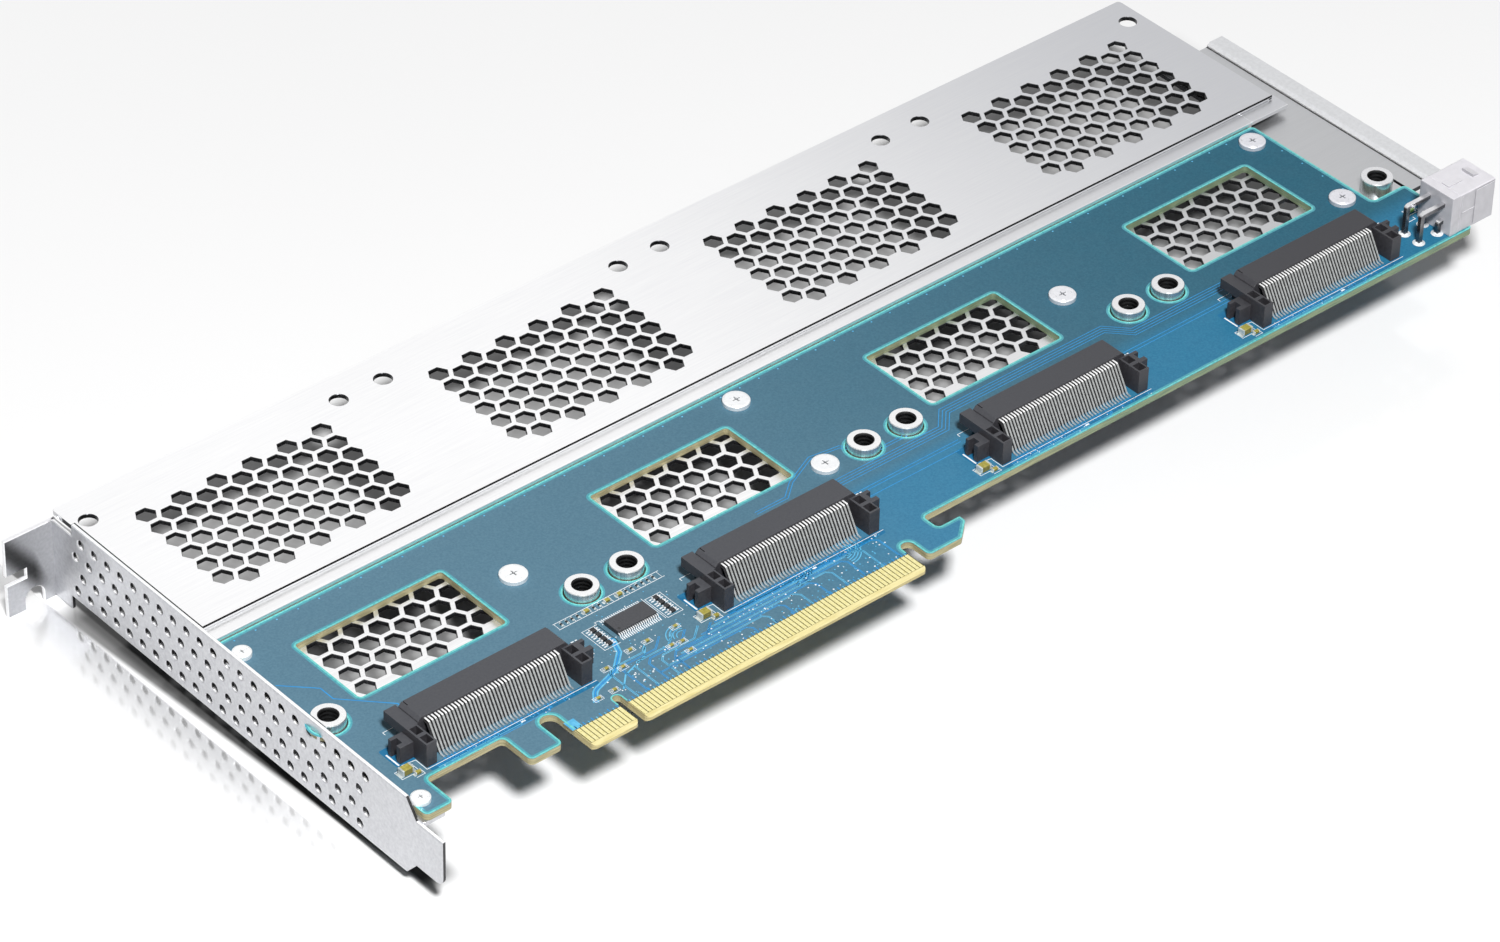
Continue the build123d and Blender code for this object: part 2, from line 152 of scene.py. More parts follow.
def ribbon(points, left, right, z, closed=False):
    """A flat band along a path, from left millimetres on one side to right on the other."""
    count = len(points)
    verts, faces = [], []
    for i, here in enumerate(points):
        before = points[i - 1] if i or closed else None
        after = points[(i + 1) % count] if i < count - 1 or closed else None
        sides = []
        for a, b in ((before, here), (here, after)):
            if a is not None and b is not None:
                d = Vector((b[0] - a[0], b[1] - a[1])).normalized()
                sides.append(Vector((-d.y, d.x)))
        side = sum(sides, Vector((0, 0))).normalized()
        side /= max(0.4, side.dot(sides[0]))
        verts.append((here[0] + side.x * left, here[1] + side.y * left, z))
        verts.append((here[0] - side.x * right, here[1] - side.y * right, z))
    last = count if closed else count - 1
    for i in range(last):
        a, b = 2 * i, 2 * ((i + 1) % count)
        faces.append((a, a + 1, b + 1, b))
    return verts, faces


def bent(path, width, thick, x, y=None):
    """A strip bent along a path of (y, z), standing at x, or of (x, z) at y."""
    verts, faces = [], []
    count = len(path)
    for i, here in enumerate(path):
        a, b = path[max(i - 1, 0)], path[min(i + 1, count - 1)]
        d = Vector((b[0] - a[0], b[1] - a[1])).normalized()
        n = Vector((-d.y, d.x)) * thick / 2
        for s, w in ((1, -1), (1, 1), (-1, 1), (-1, -1)):
            u, v = here[0] + n.x * s, here[1] + n.y * s
            if y is None:
                verts.append((x + w * width / 2, u, v))
            else:
                verts.append((u, y + w * width / 2, v))
    for i in range(count - 1):
        for k in range(4):
            a, b = 4 * i + k, 4 * i + (k + 1) % 4
            faces.append((a, b, b + 4, a + 4))
    faces += [(3, 2, 1, 0), tuple(4 * (count - 1) + k for k in range(4))]
    return verts, faces


def arc(x, y, radius, start, end, steps=12):
    angles = [math.radians(start + (end - start) * k / steps) for k in range(steps + 1)]
    return [(x + radius * math.cos(a), y + radius * math.sin(a)) for a in angles]


def circle(x, y, radius, steps=40):
    return arc(x, y, radius, 0, 360, steps)[:-1]


def hexagon(x, y, flats=3.85):
    return circle(x, y, flats / math.sqrt(3), 6)


def eased(points, radius, closed=False):
    """The same path with its sharp corners rounded, where both sides are long enough."""
    points = [p for i, p in enumerate(points) if not i or math.dist(p, points[i - 1]) > 0.001]
    path = []
    for i, point in enumerate(points):
        if not closed and i in (0, len(points) - 1):
            path.append(point)
            continue
        corner = Vector(point)
        back, on = Vector(points[i - 1]) - corner, Vector(points[(i + 1) % len(points)]) - corner
        angle = back.angle(on)
        cut = radius / math.tan(angle / 2)
        if angle > 2.6 or cut > 0.45 * min(back.length, on.length):
            path.append(point)
            continue
        back.normalize()
        on.normalize()
        centre = corner + (back + on).normalized() * radius / math.sin(angle / 2)
        start, end = corner + back * cut - centre, corner + on * cut - centre
        for k in range(6):
            path.append(tuple(centre + start.lerp(end, k / 5).normalized() * radius))
    return path


def rectangle(x0, x1, y0, y1, radius=0.0):
    if not radius:
        return [(x0, y0), (x1, y0), (x1, y1), (x0, y1)]
    corners = [(x1 - radius, y0 + radius, -90), (x1 - radius, y1 - radius, 0),
               (x0 + radius, y1 - radius, 90), (x0 + radius, y0 + radius, 180)]
    return [p for x, y, a in corners for p in arc(x, y, radius, a, a + 90, 5)]


def moved(shape, dx=0.0, dy=0.0, dz=0.0):
    return [(x + dx, y + dy, z + dz) for x, y, z in shape[0]], shape[1]


def turned_up(shape, place):
    """The same shape with each point put through a function of its three numbers."""
    return [place(*v) for v in shape[0]], shape[1]


def as_object(shape):
    mesh = bpy.data.meshes.new("scratch")
    mesh.from_pydata(shape[0], [], shape[1])
    holder = bpy.data.objects.new("scratch", mesh)
    bpy.context.scene.collection.objects.link(holder)
    return holder


def carved(shape, *cutters):
    """The shape with the cutters taken out of it."""
    body = as_object(shape)
    tools = [as_object(c) for c in cutters]
    for tool in tools:
        mod = body.modifiers.new("cut", "BOOLEAN")
        mod.operation = "DIFFERENCE"
        mod.solver = "EXACT"
        mod.object = tool
    bpy.context.view_layer.update()
    graph = bpy.context.evaluated_depsgraph_get()
    mesh = bpy.data.meshes.new_from_object(body.evaluated_get(graph))
    bm = bmesh.new()
    bm.from_mesh(mesh)
    result = unpack(bm)
    for o in [body, *tools]:
        data = o.data
        bpy.data.objects.remove(o)
        bpy.data.meshes.remove(data)
    bpy.data.meshes.remove(mesh)
    return result


def split_walls(shape):
    """The flat faces of a sheet, and the faces of its edges and hole walls."""
    groups = ([], [])
    for face in shape[1]:
        a, b, c = (Vector(shape[0][i]) for i in face[:3])
        groups[abs((b - a).cross(c - a).normalized().z) < 0.6].append(face)
    return (shape[0], groups[0]), (shape[0], groups[1])


class Piece:
    """Collects shapes and becomes one object that rides on the card."""

    def __init__(self, name, slot, *materials, nodes=(), smooth=None):
        self.name, self.slot, self.materials = name, slot, materials
        self.nodes, self.smooth = nodes, smooth
        self.verts, self.faces, self.marks = [], [], []

    def add(self, shape, material=0):
        base = len(self.verts)
        self.verts += shape[0]
        self.faces += [tuple(i + base for i in f) for f in shape[1]]
        self.marks += [material] * len(shape[1])
        return self

    def done(self):
        mesh = bpy.data.meshes.new(self.name)
        mesh.from_pydata([(x * MM, y * MM, z * MM) for x, y, z in self.verts], [], self.faces)
        for m in self.materials:
            mesh.materials.append(m)
        mesh.polygons.foreach_set("material_index", self.marks)
        if self.smooth:
            mesh.polygons.foreach_set("use_smooth", [True] * len(self.faces))
            mesh.set_sharp_from_angle(angle=math.radians(self.smooth))
        mesh.update()
        obj = bpy.data.objects.new(self.name, mesh)
        bpy.context.scene.collection.objects.link(obj)
        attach(obj, "root")
        if self.nodes:
            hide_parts(*self.nodes)
        return obj


# Materials
def linear(code):
    parts = [int(code[i:i + 2], 16) / 255 for i in (1, 3, 5)]
    parts = [c / 12.92 if c <= 0.04045 else ((c + 0.055) / 1.055) ** 2.4 for c in parts]
    return (*parts, 1.0)


class Nodes:
    """Short names for the few shader nodes that every material here is made of."""

    def __init__(self, name):
        self.material = bpy.data.materials.new(name)
        self.material.use_nodes = True
        self.tree = self.material.node_tree
        self.tree.nodes.clear()
        self.out = self.new("ShaderNodeOutputMaterial")
        self.shader = self.new("ShaderNodeBsdfPrincipled")
        self.link(self.shader.outputs[0], self.out.inputs[0])
        self.where = self.new("ShaderNodeTexCoord").outputs["Object"]

    def new(self, kind, **values):
        node = self.tree.nodes.new(kind)
        for key, value in values.items():
            setattr(node, key, value)
        return node

    def link(self, a, b):
        self.tree.links.new(a, b)

    def noise(self, scale, detail=3.0, stretch=(1, 1, 1)):
        mapping = self.new("ShaderNodeMapping")
        mapping.inputs["Scale"].default_value = stretch
        self.link(self.where, mapping.inputs["Vector"])
        node = self.new("ShaderNodeTexNoise")
        node.inputs["Scale"].default_value = scale
        node.inputs["Detail"].default_value = detail
        self.link(mapping.outputs[0], node.inputs["Vector"])
        return node.outputs["Fac"]

    def ramp(self, factor, low, high, start=0.3, end=0.7):
        node = self.new("ShaderNodeValToRGB")
        first, last = node.color_ramp.elements
        first.position, last.position = start, end
        first.color, last.color = linear(low), linear(high)
        self.link(factor, node.inputs["Fac"])
        return node.outputs["Color"]

    def spread(self, value, low, high, to_low=0.0, to_high=1.0):
        node = self.new("ShaderNodeMapRange", interpolation_type="SMOOTHSTEP")
        self.link(value, node.inputs["Value"])
        for key, number in (("From Min", low), ("From Max", high), ("To Min", to_low), ("To Max", to_high)):
            node.inputs[key].default_value = number
        return node.outputs["Result"]

    def across(self, name, start, end, to_low=0.0, to_high=1.0):
        """A value that changes along an axis between two places, in millimetres."""
        return self.spread(self.axis(name), start * MM, end * MM, to_low, to_high)

    def math(self, operation, *values):
        node = self.new("ShaderNodeMath", operation=operation)
        for value, socket in zip(values, node.inputs):
            if isinstance(value, float):
                socket.default_value = value
            else:
                self.link(value, socket)
        return node.outputs[0]

    def product(self, first, *others):
        for other in others:
            first = self.math("MULTIPLY", first, other)
        return first

    def axis(self, name, source=None):
        node = self.new("ShaderNodeSeparateXYZ")
        self.link(source or self.where, node.inputs[0])
        return node.outputs[name]

    def facing(self, name="Z"):
        return self.axis(name, self.new("ShaderNodeNewGeometry").outputs["True Normal"])

    def mix(self, factor, a, b, blend="MIX"):
        node = self.new("ShaderNodeMix", data_type="RGBA", blend_type=blend)
        self.link(factor, node.inputs["Factor"])
        self.link(a, node.inputs[6])
        self.link(b, node.inputs[7])
        return node.outputs[2]

    def bump(self, height, strength, distance=0.00005):
        node = self.new("ShaderNodeBump")
        node.inputs["Strength"].default_value = strength
        node.inputs["Distance"].default_value = distance
        self.link(height, node.inputs["Height"])
        self.link(node.outputs[0], self.shader.inputs["Normal"])

    def finish(self, colour, **sockets):
        self.link(colour, self.shader.inputs["Base Color"])
        for key, value in sockets.items():
            self.shader.inputs[key.replace("_", " ")].default_value = value
        return self.material


def plain(name, low, high, rough, scale=900, stretch=(1, 1, 1), bump=0.15, metal=0.0,
          side=None, far_shade=None, **sockets):
    """A mottled surface; side is its colours where it doesn't face up, painted as lit or shaded faces, and
    far_shade those towards the x = 300 end, painted darker as the light falls off.
    """
    n = Nodes(name)
    grain = n.noise(scale, 4.0, stretch)
    colour = n.ramp(grain, low, high)
    # Painted light falloff: darker towards the x = 300 end.
    if far_shade:
        away = n.across("X", 60, 300)
        colour = n.mix(away, colour, n.ramp(grain, *far_shade))
    # Painted light and shade: faces that don't face up take other colours.
    if side:
        up = n.spread(n.facing(), 0.3, 0.8)
        colour = n.mix(up, n.ramp(grain, *side), colour)
    n.link(n.spread(grain, 0.3, 0.7, rough * 0.85, rough * 1.15), n.shader.inputs["Roughness"])
    if bump:
        n.bump(grain, bump)
    return n.finish(colour, Metallic=metal, **sockets)


def board_material():
    """Solder mask painted darker towards the x = 290 end as the light falls off, and darker underneath as
    painted shade, with laminate on its edges and a bare tongue.
    """
    n = Nodes("board_mask")
    grain = n.noise(2200, 2.0)
    near = n.ramp(grain, "#54778a", "#5e8193")
    away = n.ramp(grain, "#24586d", "#2c6377")
    # Painted light falloff: the mask darkens towards the x = 290 end.
    colour = n.mix(n.across("X", 30, 290), near, away)
    layers = n.noise(220, 3.0, (1, 1, 18))
    khaki = n.ramp(layers, "#8d8768", "#b5ad89")
    khaki = n.mix(n.across("X", 125, 190), khaki, n.ramp(layers, "#667a66", "#8a9878"))
    up = n.spread(n.facing(), 0.3, 0.8)
    down = n.spread(n.facing(), -0.3, -0.8)
    colour = n.mix(up, khaki, colour)
    # Painted shade: the underside is darker.
    colour = n.mix(down, colour, n.ramp(grain, "#2c5c70", "#336578"))
    front = n.product(n.across("Y", -5, -12), n.across("X", 85, 130, 0.0, 0.55), up)
    colour = n.mix(front, colour, n.ramp(grain, "#2a7ca6", "#3288b2"))
    tongue = n.product(n.across("Y", -30.95, -31.05), n.across("X", 33.8, 34.0), n.across("X", 119.0, 118.8))
    flat = n.spread(n.facing(), 0.93, 0.97)
    bare = n.mix(flat, n.ramp(layers, "#cfc286", "#e2d8a4"), n.ramp(grain, "#57522c", "#6e6840"))
    bare = n.mix(up, n.ramp(layers, "#a2966a", "#cbbf8e"), bare)
    colour = n.mix(tongue, colour, bare)
    n.link(n.spread(layers, 0.3, 0.7, 0.32, 0.42), n.shader.inputs["Roughness"])
    n.bump(grain, 0.06)
    return n.finish(colour, Specular_IOR_Level=0.12)


def brushed(name, low, high, far_shade, rough, along=(0.03, 1, 1), metal=0.85, side=None, under=None,
            front_shadow_line=False):
    """Metal sheet brushed along x; front_shadow_line paints the dark shadow line along the deck's front
    edge.
    """
    n = Nodes(name)
    lines = n.noise(2600, 2.0, along)
    cloud = n.noise(14, 2.0)
    colour = n.ramp(lines, low, high)
    # Painted light falloff: darker towards the x = 300 end.
    if far_shade:
        colour = n.mix(n.across("X", 90, 300), colour, n.ramp(lines, *far_shade))
    # Painted light and shade: walls and edges take lit or shaded colours, dark in the hole walls.
    if side:
        walls = n.ramp(lines, *side)
        if front_shadow_line:
            # Painted light and shade on the deck's front face: lit, with a painted shadow line on its upper
            # part, and lighter walls at the rear.
            edge = n.ramp(n.axis("Z"), "#dfe0e2", "#e9e9eb")
            painted_shadow_line = n.across("Z", -0.48, -0.42)
            edge = n.mix(painted_shadow_line, edge, n.ramp(lines, "#141414", "#222223"))
            walls = n.mix(n.across("Y", 37.2, 37.4), edge, walls)
            walls = n.mix(n.across("Y", 80, 80.5), walls, n.ramp(lines, "#b5b6b8", "#d8d8da"))
        up = n.spread(n.facing(), 0.8, 0.95)
        colour = n.mix(up, walls, colour)
    # Painted shade: the underside is darker.
    if under:
        colour = n.mix(n.spread(n.facing(), -0.5, -0.9), colour, n.ramp(lines, *under))
    n.link(n.spread(cloud, 0.3, 0.7, rough * 0.85, rough * 1.2), n.shader.inputs["Roughness"])
    n.bump(lines, 0.06)
    return n.finish(colour, Metallic=metal)


def threaded(name):
    """The thread inside a spacer, painted near black as the shade inside the bore."""
    n = Nodes(name)
    wave = n.new("ShaderNodeTexWave", bands_direction="Z")
    wave.inputs["Scale"].default_value = 350
    n.link(n.where, wave.inputs["Vector"])
    n.bump(wave.outputs["Fac"], 0.6, 0.0002)
    colour = n.ramp(wave.outputs["Fac"], "#0a0a0b", "#242526", 0.4, 1.0)
    return n.finish(colour, Metallic=0.4, Roughness=0.5)


board_mask = board_material()
# Painted highlight along the board's edges, glowing a little though it is no lamp.
rim_highlight_glow = plain("board_rim", "#55b6b4", "#74cfca", 0.3, 1400, Emission_Color=linear("#5cc4c0"),
                 Emission_Strength=0.05)
rim_soft_highlight = plain("board_rim_soft", "#4a97a6", "#5aa6b2", 0.3, 1400, Specular_IOR_Level=0.2)
# Painted light and shade: falloff along x, dark hole walls, a darker underside, and the deck's painted
# front-edge shadow line.
deck_metal = brushed("deck_metal", "#f9f9fa", "#ffffff", ("#c5c6ca", "#c8c9cc"), 0.34,
                     side=("#232325", "#4a4b4d"), under=("#77787b", "#85868a"), front_shadow_line=True)
base_metal = brushed("base_metal", "#f2f2f3", "#ffffff", ("#bbbcbe", "#bebfc1"), 0.36,
                     side=("#232325", "#47484b"), under=("#77787b", "#85868a"))
bracket_metal = plain("bracket_metal", "#bcbdc1", "#d0d1d4", 0.34, 1500, bump=0.25, metal=0.8)


def edge_material():
    """Cut edges painted bright as a highlight, and hole walls that turn to -y painted dark as shade inside
    the vent holes.
    """
    n = Nodes("sheet_edge")
    grain = n.noise(1500)
    bright = n.ramp(grain, "#f0f0f2", "#ffffff")
    hole_shade = n.mix(n.spread(n.facing("Y"), 0.0, 0.3), n.ramp(grain, "#1c1c1d", "#2e2e30"), bright)
    return n.finish(n.mix(n.spread(n.facing(), 0.6, 0.9), hole_shade, bright), Roughness=0.4, Metallic=0.1)


edge_highlight_and_shade = edge_material()


def tab_material():
    """Polished sheet with a painted reflection: a dark band running down from its outer top corner."""
    n = Nodes("tab_metal")
    grain = n.noise(1500)
    slope, rise, half_width = 1.25, 23.6 * MM, 6.5 * MM
    level = n.math("ADD", n.math("MULTIPLY_ADD", n.axis("X"), slope, rise), n.axis("Z"))
    away = n.spread(n.math("ABSOLUTE", level), 0.5 * MM, half_width)
    fade = n.math("ADD", away, n.across("X", -8.5, -4.5))
    # Painted reflection: the dark band.
    colour = n.mix(fade, n.ramp(grain, "#3c3c3e", "#48484a"), n.ramp(grain, "#a4a5a9", "#b2b3b7"))
    front = n.spread(n.facing("Y"), -0.8, -0.95)
    colour = n.mix(front, n.ramp(grain, "#e8e8ea", "#f6f6f8"), colour)
    return n.finish(colour, Roughness=0.3, Metallic=0.6)


tab_metal = tab_material()
# Painted light: falloff along x and shaded sides.
spacer_metal = brushed("spacer_metal", "#f4f4f4", "#ffffff", ("#dadbdd", "#e6e6e8"), 0.25,
                       (1, 1, 0.05), side=("#b0b5b6", "#dde1e2"))
bore_shade = threaded("spacer_thread")
# far_shade: painted light falloff along x.
screw_metal = plain("screw_metal", "#f2f4f5", "#fbfcfc", 0.32, 1200, bump=0.04, metal=0.4,
                    far_shade=("#d6d6dc", "#e4e4ea"))
# Painted shade: the floor seen through the cross recess is dark.
recess_shade = plain("screw_recess", "#4c4f52", "#606366", 0.5, 1200)
# Painted light and shade: darker sides and a darker x = 300 end.
socket_plastic = plain("socket_plastic", "#44454a", "#4c4d51", 0.5, 1800, bump=0.3,
                       side=("#333236", "#3e3d41"), far_shade=("#343438", "#3c3c40"), Specular_IOR_Level=0.3)
# Near black, painted where there is only shade: pocket floors, gaps behind contact legs, the hem's foot.
painted_shade_black = plain("socket_pocket", "#1c1b1d", "#262528", 0.6, 1800)


def contact_material():
    """White tops and greyer slanted legs, painted as lit and shaded faces of one metal, and greyer feet low
    down.
    """
    n = Nodes("contact_metal")
    grain = n.noise(1600)
    # Painted light: the colour follows which way each face turns.
    colour = n.mix(n.spread(n.facing(), 0.70, 0.93), n.ramp(grain, "#969897", "#b0b2b1"),
                   n.ramp(grain, "#fafaf9", "#ffffff"))
    colour = n.mix(n.across("Z", -1.1, -1.6), colour, n.ramp(grain, "#8d979c", "#b0babf"))
    return n.finish(colour, Roughness=0.35, Metallic=0.2)


contact_metal = contact_material()
# side: painted shade on the finger sides.
gold = plain("finger_gold", "#e9dd93", "#f6eeb4", 0.3, 1500, metal=0.35, side=("#b5a35a", "#cdbd78"))
trace_blue = plain("trace_blue", "#1f86c8", "#2f98da", 0.35, 700, Specular_IOR_Level=0.4)
trace_pale = plain("trace_pale", "#4aa6d4", "#6fc3e6", 0.35, 700, Specular_IOR_Level=0.4)
silk_white = plain("silk_white", "#e3eef4", "#ffffff", 0.6, 2500)
solder = plain("solder", "#dfe6ea", "#ffffff", 0.3, 1200, metal=0.3)
tin = plain("tin_ends", "#b4bbb8", "#dde3e2", 0.35, 1200, metal=0.3)
# side: painted shade on the faces that don't face up.
nylon = plain("nylon", "#e6e4e9", "#eeecf1", 0.35, 500, bump=0.1, Transmission_Weight=0.12,
              Specular_IOR_Level=0.5, side=("#b8b7bc", "#c4c3c8"))
nylon_inner = plain("nylon_inner", "#c9c7cf", "#d8d6de", 0.4, 500, bump=0.1)
# side: painted shade, dark where the pins don't face up.
pin_metal = plain("pin_metal", "#c9c9cc", "#f2f2f3", 0.22, 300, metal=0.9, side=("#3c3c40", "#8d8d90"))
# side: painted shade on the sides.
chip_plastic = plain("chip_plastic", "#37383c", "#424347", 0.55, 2200, bump=0.3,
                     side=("#2a2a2c", "#353538"))
array_black = plain("array_black", "#141517", "#232427", 0.4, 2000)
# side: painted shade on the sides.
olive = plain("capacitor_body", "#8f8638", "#b3a955", 0.45, 1800, side=("#6d6527", "#857c3a"))
green_part = plain("green_part", "#7fae5a", "#a8cf7c", 0.4, 1800)
lug_dark = plain("peg_dark", "#1d1d1f", "#2b2b2d", 0.55, 1500)

# Sheets
hole_steps = 28


def deck_hexagons():
    """The openings of the four fields, with every second column half a pitch lower."""
    pitch, middle_x, middle_y = 5.0, 31.35, 57.05
    column = pitch * math.cos(math.radians(30))
    for x in DRIVES:
        for c in range(11):
            shift = pitch / 4 if c % 2 == 0 else -pitch / 4
            for r in range(6):
                yield hexagon(x + middle_x + (c - 5) * column, middle_y + shift + (r - 2.5) * pitch)


deck_outline = [(-2.6, 35.9), (285.0, 35.9), *arc(284.1, 83.1, 0.9, 0, 90, 5),
                *arc(-2.7, 83.1, 0.9, 90, 180, 5), (-3.6, 77.5), (-2.6, 77.5)]
deck = Piece("deck_sheet", "frame", deck_metal, nodes=("drive_deck",))
deck.add(sheet([deck_outline, *deck_hexagons(), *[circle(x, 76.6, 1.95, hole_steps) for x in SPACERS]],
               SHEET, 0.1))
deck.add(prism([(32.3, -3.6), (33.3, -3.6), (33.3, -2.0), (36.9, -2.0), (36.9, -1.02), (32.45, -1.02),
                (32.3, -1.17)], -2.6, 275.4, "x", 0.05, 1))
deck.add(box(275.4, 286.4, 32.3, 36.9, -2.0, -1.02, 0.08, 1))
deck.add(box(284.0, 285.0, 35.9, 62.2, -3.6, -0.5, 0.08, 1))
deck.done()


def base_hexagons():
    for x in DRIVES:
        for c in range(8):
            rows = (25.4, 20.4, 15.4, 10.4, 5.4) if c % 2 == 0 else (22.9, 17.9, 12.9, 7.9)
            for y in rows:
                yield hexagon(x + 13.0 + 4.33 * c, y)


screw_spots = [(x + 2 * DRIVE_PITCH * k, y) for k in (0, 1)
               for x, y in ((54.5, 12.1), (124.6, 27.3), (124.6, 0.2))]
base_outline = [(-2.6, -20.0), (262.0, -20.0), (262.0, -5.0), (296.0, -5.0), (296.0, 62.2), (276.0, 62.2),
                (276.0, 38.0), (-2.6, 38.0), (-2.6, 30.6), (2.7, 30.6), (2.7, 22.0), (-2.6, 22.0)]
base_holes = [circle(x, 0, 2.2, hole_steps) for x in SPACERS]
base_holes += [circle(x, y, 1.5, hole_steps) for x, y in screw_spots]
base_holes.append(rectangle(285.9, 286.5, -3.2, 0.8, 0.25))
# Painted light: a brighter top and white sides, as lit faces.
hem_metal = plain("hem_metal", "#d2d3d5", "#dcdddf", 0.35, 1200, metal=0.5, side=("#f0f0f2", "#fafafa"))
base = Piece("base_sheet", "frame", base_metal, hem_metal, painted_shade_black, nodes=("base_plate",))
base.add(moved(sheet([base_outline, *base_hexagons(), *base_holes], SHEET, 0.1), dz=BOARD_UNDER))
base.add(prism([(291.3, -3.58), (296.0, -3.58), (296.0, -2.8), (295.8, -2.6), (292.1, -2.6),
                (291.3, -3.2)], -5.0, 62.2, "y", 0.03, 1), 1)
# Painted shadow: a thin black strip at the foot of the hem.
base.add(box(290.95, 291.28, -5.0, 62.2, -3.62, -3.585, 0), 2)
base.done()

# Slot bracket
panel_outline = [(-27.8, -18.3), (78.6, -18.3), (78.6, -21.6), (84.6, -21.6), (84.6, -2.7), (77.5, -2.7),
                 (77.5, 0.0), (-27.8, 0.0), (-30.8, -4.1), (-38.7, -4.1),
                 *arc(-36.7, -12.9, 2.0, 180, 270, 6), (-30.8, -14.9)]
vents = []
for row, z in enumerate((-3.25, -7.4, -11.8, -15.8)):
    for k in range(22):
        vents.append(circle((-15.6, -13.6)[row % 2] + 4.286 * k, z, 1.06, 20))
panel = sheet([panel_outline, *vents], SHEET, 0.2)
tab_outline = [(-15.03, -21.6), (-10.71, -21.6), *arc(-8.5, -19.25, 2.21, 180, 0, 14), (-6.29, -21.6),
               (-2.6, -21.6), (-2.6, -2.7), (-15.03, -2.7), (-15.03, -11.4), (-10.23, -11.4),
               (-10.23, -13.8), (-15.03, -13.8)]
tab = sheet([tab_outline], SHEET, 0.16)
bracket = Piece("bracket_sheet", "bracket", bracket_metal, tab_metal, edge_highlight_and_shade, nodes=("slot_bracket",))
faces_flat, faces_edge = split_walls(panel)
bracket.add(turned_up(faces_flat, lambda u, v, w: (-2.6 + w, u, v)))
# Painted highlight and shade on the edges and vent-hole walls.
bracket.add(turned_up(faces_edge, lambda u, v, w: (-2.6 + w, u, v)), 2)
bracket.add(turned_up(tab, lambda u, v, w: (u, 85.0 + w, v)), 1)
for y in BRACKET_EARS:
    ear = sheet([rectangle(-3.0, 2.4, y - 4, y + 4, 0.6), circle(-0.5, y, 1.5, hole_steps)], SHEET, 0.08)
    bracket.add(moved(ear, dz=BOARD_UNDER))
bracket.done()

# Spacers and screws
spacers = Piece("spacer_rings", "spacer", spacer_metal, bore_shade, nodes=("drive_spacers",), smooth=28)
for x in SPACERS:
    outside = turned([(2.15, 0.0), (3.2, 0.0), (3.38, -0.05), (3.5, -0.22), (3.5, -3.6), (1.95, -3.6)], x, 0)
    inside = turned([(1.95, -3.6), (1.95, -0.2), (2.15, 0.0)], x, 0)
    if x == 0:
        outside = turned_up(outside, lambda a, b, c: (max(a, -2.55), b, c))
    spacers.add(outside)
    # Painted shade: the bore's wall is near black.
    spacers.add(inside, 1)
spacers.done()


def screw(piece, x, y, radius):
    """A low round head with a cross recess, and its shank."""
    arm, half = radius * 0.32, radius * 0.06
    cross = [(half, half), (half, arm), (-half, arm), (-half, half), (-arm, half), (-arm, -half),
             (-half, -half), (-half, -arm), (half, -arm), (half, -half), (arm, -half), (arm, half)]
    cross = [(x + u, y + v) for u, v in cross]
    ring = circle(x, y, radius * 0.86, 32)
    piece.add(moved(sheet([ring, cross], 0.5, 0.05), dz=-0.9))
    skirt = [(radius * 0.85, -0.91), (radius * 0.92, -0.93), (radius * 0.97, -1.0), (radius, -1.12),
             (radius, -1.95), (radius * 0.97, -2.0), (1.45, -2.0), (1.45, BASE_UNDER), (0, BASE_UNDER)]
    piece.add(turned(skirt, x, y, 40))
    # Painted shade: a dark floor under the cross recess.
    piece.add(turned([(radius * 0.84, -1.2), (0, -1.2)], x, y, 24), 1)


board_screws = Piece("board_screw_set", "screw", screw_metal, recess_shade, nodes=("board_screws",),
                     smooth=35)
for x, y in screw_spots:
    screw(board_screws, x, y, 2.9)
board_screws.done()
bracket_screws = Piece("bracket_screw_set", "screw", screw_metal, recess_shade, nodes=("bracket_screws",),
                       smooth=35)
for y in BRACKET_EARS:
    screw(bracket_screws, -0.5, y, 2.0)
bracket_screws.done()


# Drive sockets
EARS = [(6.1, 8.6), (43.5, 46.2)]
POCKETS = (-17.4, -20.5)


def housing():
    """One moulded housing at the first drive's place."""
    low, top, parts = BOARD, BOARD + 6.5, []
    profile = [(8.9, low), (45.2, low), (45.2, top - 0.8), (44.4, top), (9.7, top), (8.9, top - 0.8)]
    body = prism(profile, -15.9, -9.9, "y", 0.12)
    mouth = box(11.05, 43.05, -14.4, -9.0, low + 2.6, low + 5.4, 0)
    slit = box(9.75, 10.0, -11.6, -9.8, top - 0.3, top + 1, 0)
    parts.append(carved(body, mouth, slit))
    parts.append(box(6.1, 8.95, -15.9, -9.0, low + 3.2, low + 5.5, 0.06))
    for left, right in EARS:
        ear = box(left, right, -22.0, -15.8, low, low + 5.5, 0.1)
        cuts = [box(left + 0.4, right - 0.4, y - 1.1, y + 1.1, low + 2.4, low + 7, 0) for y in POCKETS]
        parts.append(carved(ear, *cuts))
    for left, right, groove in ((2.9, 6.15, 2.5), (46.15, 49.7, 48.4)):
        peg = box(left, right, -18.1, -14.4, low, low + 3.9, 0.12)
        parts.append(carved(peg, box(groove, groove + 1.8, -17.0, -15.3, low - 0.5, low + 5, 0)))
    return parts


